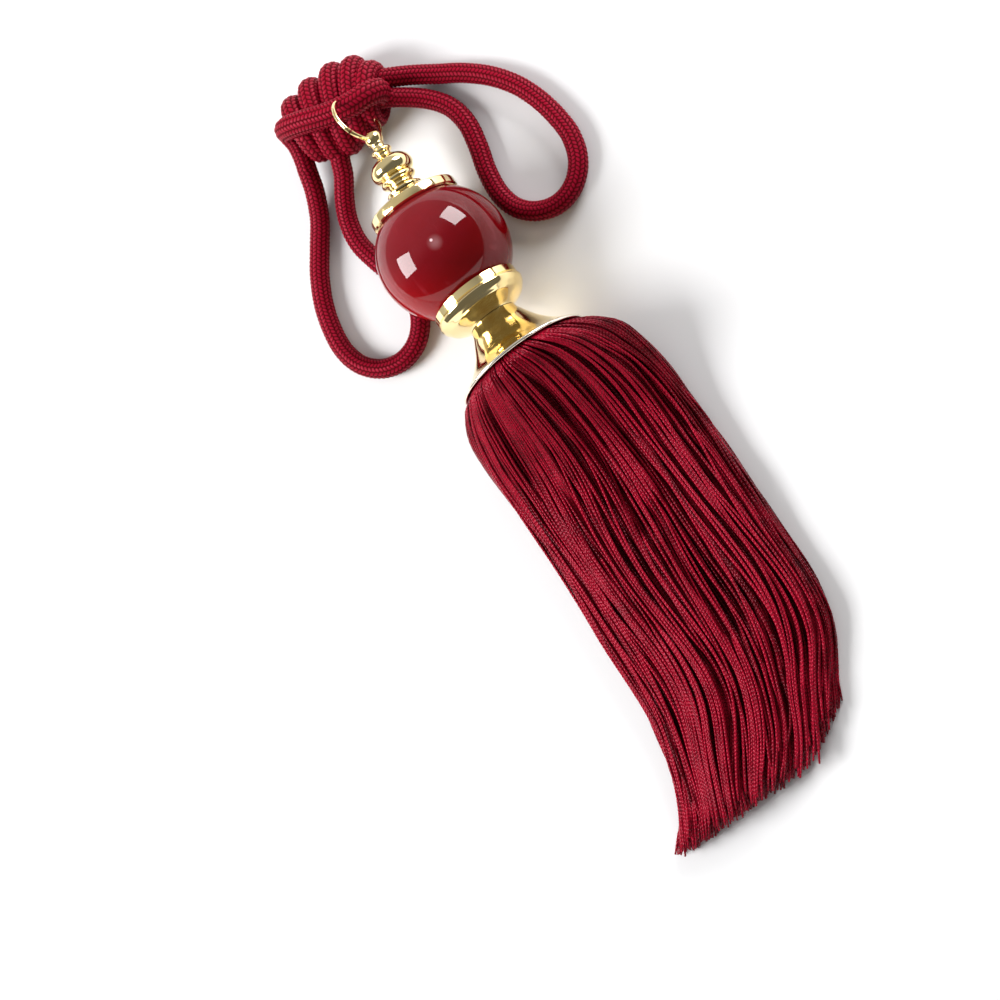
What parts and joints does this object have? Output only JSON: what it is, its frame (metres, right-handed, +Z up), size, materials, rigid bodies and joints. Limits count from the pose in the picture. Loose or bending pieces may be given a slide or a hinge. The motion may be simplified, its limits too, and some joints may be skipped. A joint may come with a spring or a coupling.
{
  "type": "curtain tieback tassel",
  "caption": "Curtain tieback tassel laid flat: a glossy ball in gilt turned fittings between a knotted doubled rope and a long yarn fringe.",
  "frame": {"origin": "middle of the small flat on the underside of the ball, on the surface that the tassel lies on", "axes": "+Z up, +Y along the tassel towards the ring and the knotted rope, so the fringe runs to -Y"},
  "size_m": [0.113, 0.2856, 0.0469],
  "materials": {
    "ball": "polished red resin with faint milky veins",
    "fittings": "bright gilt plating",
    "rope": "braided viscose rope, crimson",
    "fringe": "twisted viscose yarn with a soft sheen, crimson"
  },
  "bodies": {
    "root": {"ball": "ball", "finial": "fittings", "dish": "fittings", "cup": "fittings", "bell": "fittings", "hook_ring": "fittings", "rope_knot": "rope", "rope_arm_right": "rope", "rope_arm_left": "rope", "fringe": "fringe"}
  },
  "joints": []
}
